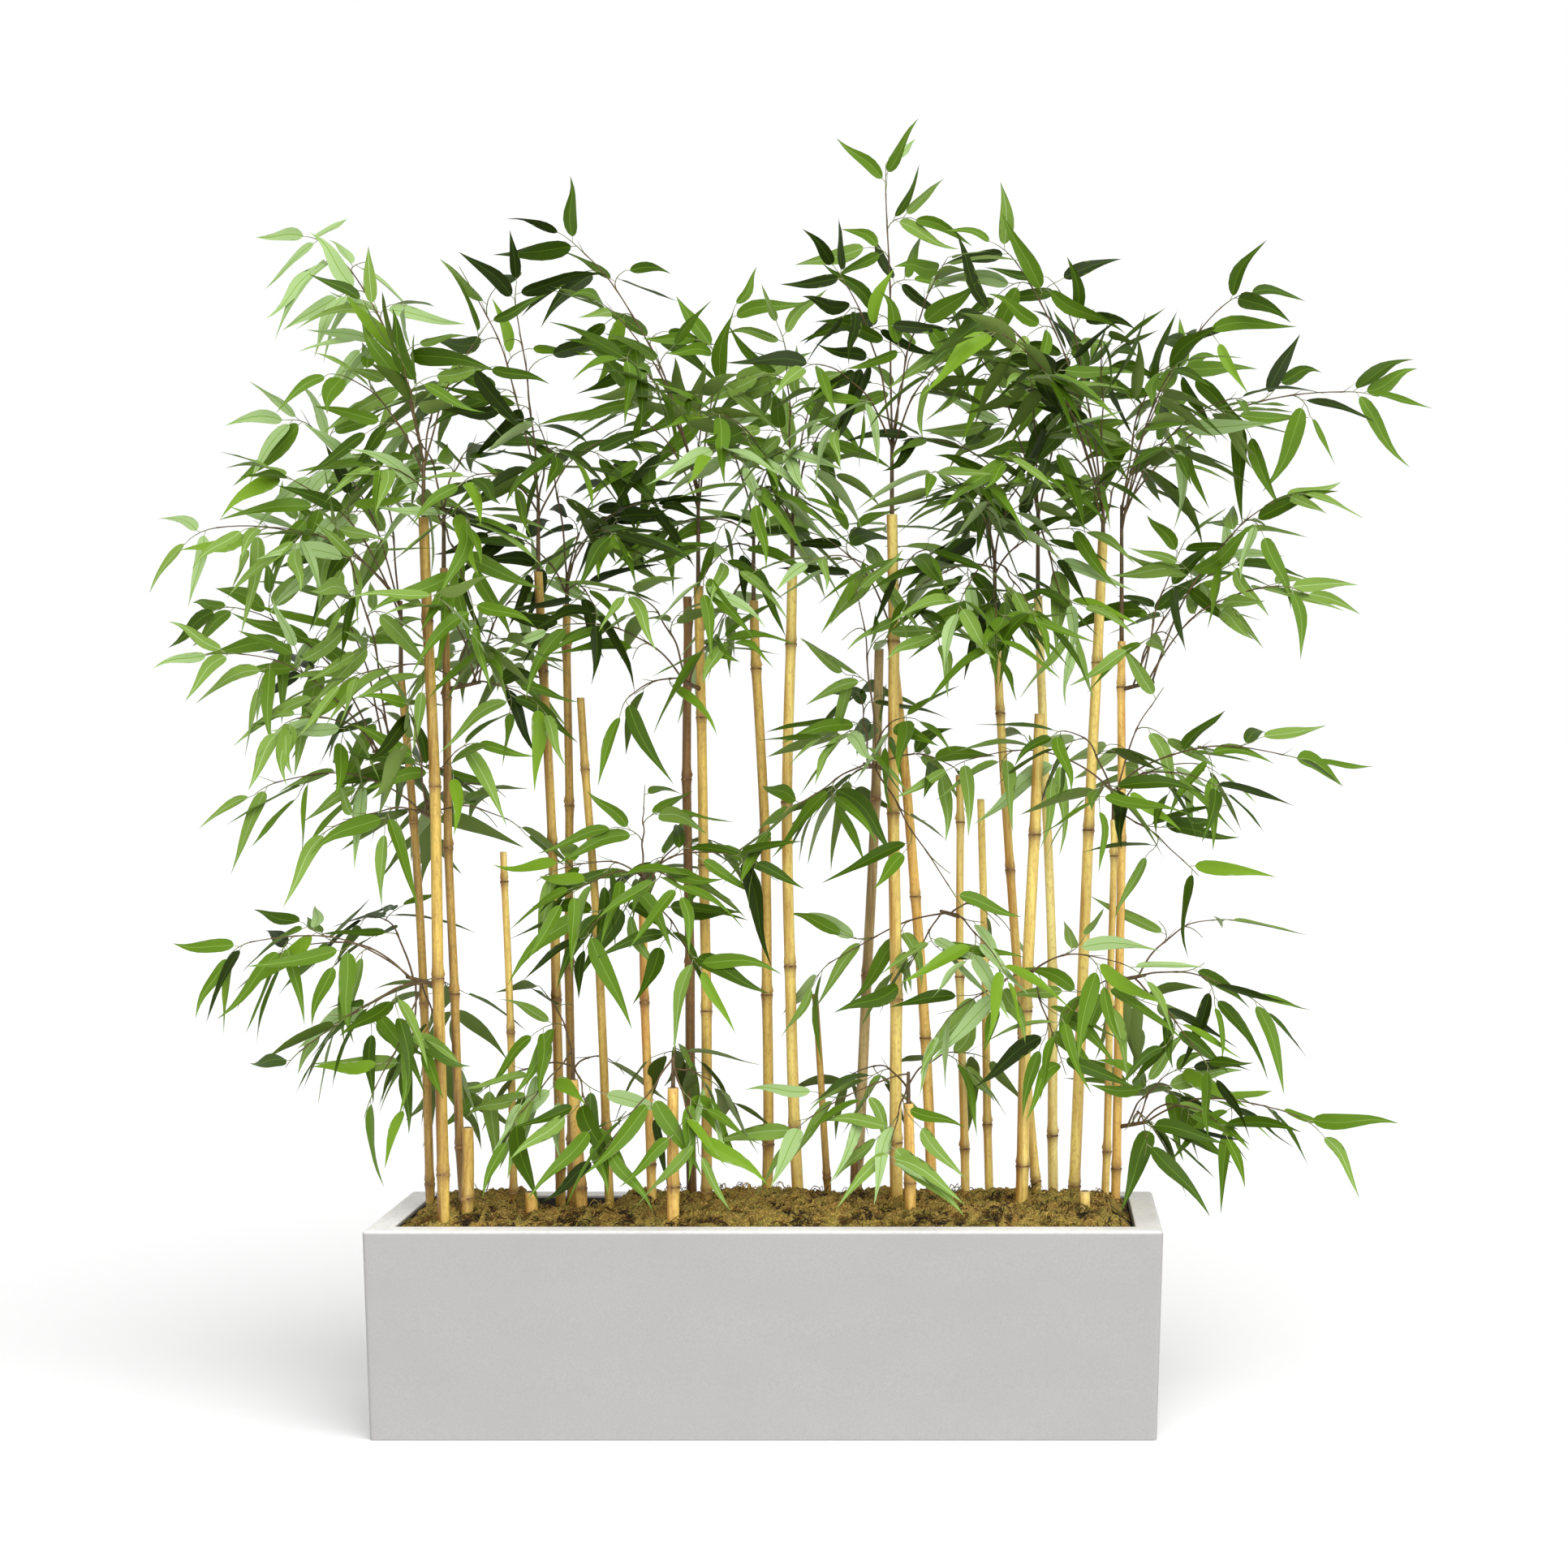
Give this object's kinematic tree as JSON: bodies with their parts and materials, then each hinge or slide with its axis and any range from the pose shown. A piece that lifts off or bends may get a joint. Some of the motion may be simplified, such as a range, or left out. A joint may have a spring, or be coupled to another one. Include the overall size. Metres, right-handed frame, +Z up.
{
  "type": "artificial bamboo screen in a trough planter",
  "caption": "Artificial bamboo screen: cut bamboo canes with wired leaf sprays, set upright in a moss-topped rectangular trough.",
  "frame": {"origin": "the middle of the trough's flat underside", "axes": "+Z up, +X along the trough to the right as seen from the front, +Y towards the back"},
  "size_m": [1.683, 0.4995, 1.6889],
  "materials": {
    "trough": "satin light grey, faintly mottled",
    "liner": "black moulded insert, matt",
    "moss": "dried moss, matt and tufted",
    "cane": "natural bamboo cane, satin skin with darker joints",
    "twig": "paper-wrapped wire, matt",
    "foliage": "printed leaf cloth, soft satin"
  },
  "bodies": {
    "root": {"trough": "trough", "moss_bed": "moss", "cane_01": "cane", "cane_02": "cane", "cane_03": "cane", "cane_04": "cane", "cane_05": "cane", "cane_06": "cane", "cane_07": "cane", "cane_08": "cane", "cane_09": "cane", "cane_10": "cane", "cane_11": "cane", "cane_12": "cane", "cane_13": "cane", "cane_14": "cane", "cane_15": "cane", "cane_16": "cane", "cane_17": "cane", "cane_18": "cane", "cane_19": "cane", "cane_20": "cane", "cane_21": "cane", "cane_22": "cane", "cane_23": "cane", "cane_24": "cane", "cane_25": "cane", "cane_26": "cane", "cane_27": "cane", "cane_28": "cane", "foliage_01": "foliage", "foliage_02": "foliage", "foliage_03": "foliage", "foliage_04": "foliage", "foliage_05": "foliage", "foliage_06": "foliage", "foliage_07": "foliage", "foliage_08": "foliage", "foliage_09": "foliage", "foliage_10": "foliage", "foliage_11": "foliage", "foliage_12": "foliage", "foliage_13": "foliage", "foliage_14": "foliage", "foliage_15": "foliage", "foliage_16": "foliage", "foliage_17": "foliage", "foliage_18": "foliage", "foliage_19": "foliage", "foliage_20": "foliage", "foliage_21": "foliage", "foliage_22": "foliage", "foliage_23": "foliage", "foliage_24": "foliage", "foliage_25": "foliage", "foliage_26": "foliage", "foliage_27": "foliage", "foliage_28": "foliage", "foliage_29": "foliage", "foliage_30": "foliage"}
  },
  "joints": []
}
